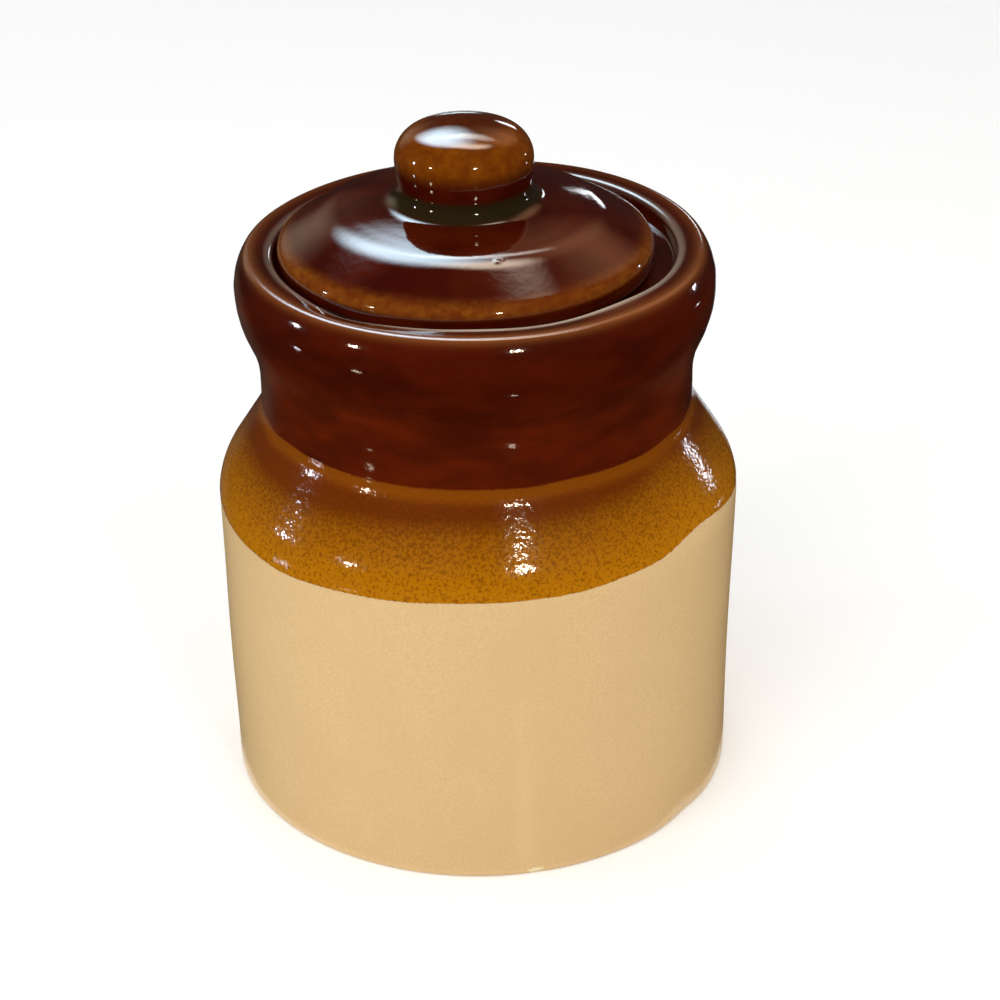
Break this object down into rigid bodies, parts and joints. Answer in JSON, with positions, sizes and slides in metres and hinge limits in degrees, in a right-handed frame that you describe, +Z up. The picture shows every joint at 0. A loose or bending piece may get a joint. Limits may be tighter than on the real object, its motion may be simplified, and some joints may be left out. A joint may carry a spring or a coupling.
{
  "type": "bean pot",
  "caption": "Squat stoneware jar with a straight body, short sloping shoulder, waisted neck, thick rolled rim and a loose domed lid with a round knob",
  "frame": {"origin": "on the pot's axis, on the surface that the foot stands on", "axes": "+Z up along the pot's axis; +X to the viewer's right; the lid lies a little to -X; -Y towards the viewer"},
  "size_m": [0.133, 0.133, 0.1764],
  "materials": {
    "pot_glaze": "cream body with fine grain, honey speckled band on the shoulder, dark brown glossy glaze from the crease to the rim",
    "lid_glaze": "dark reddish brown glossy glaze, lighter where it breaks over the edges"
  },
  "bodies": {
    "root": {"pot": "pot_glaze", "lid": "lid_glaze"}
  },
  "joints": []
}
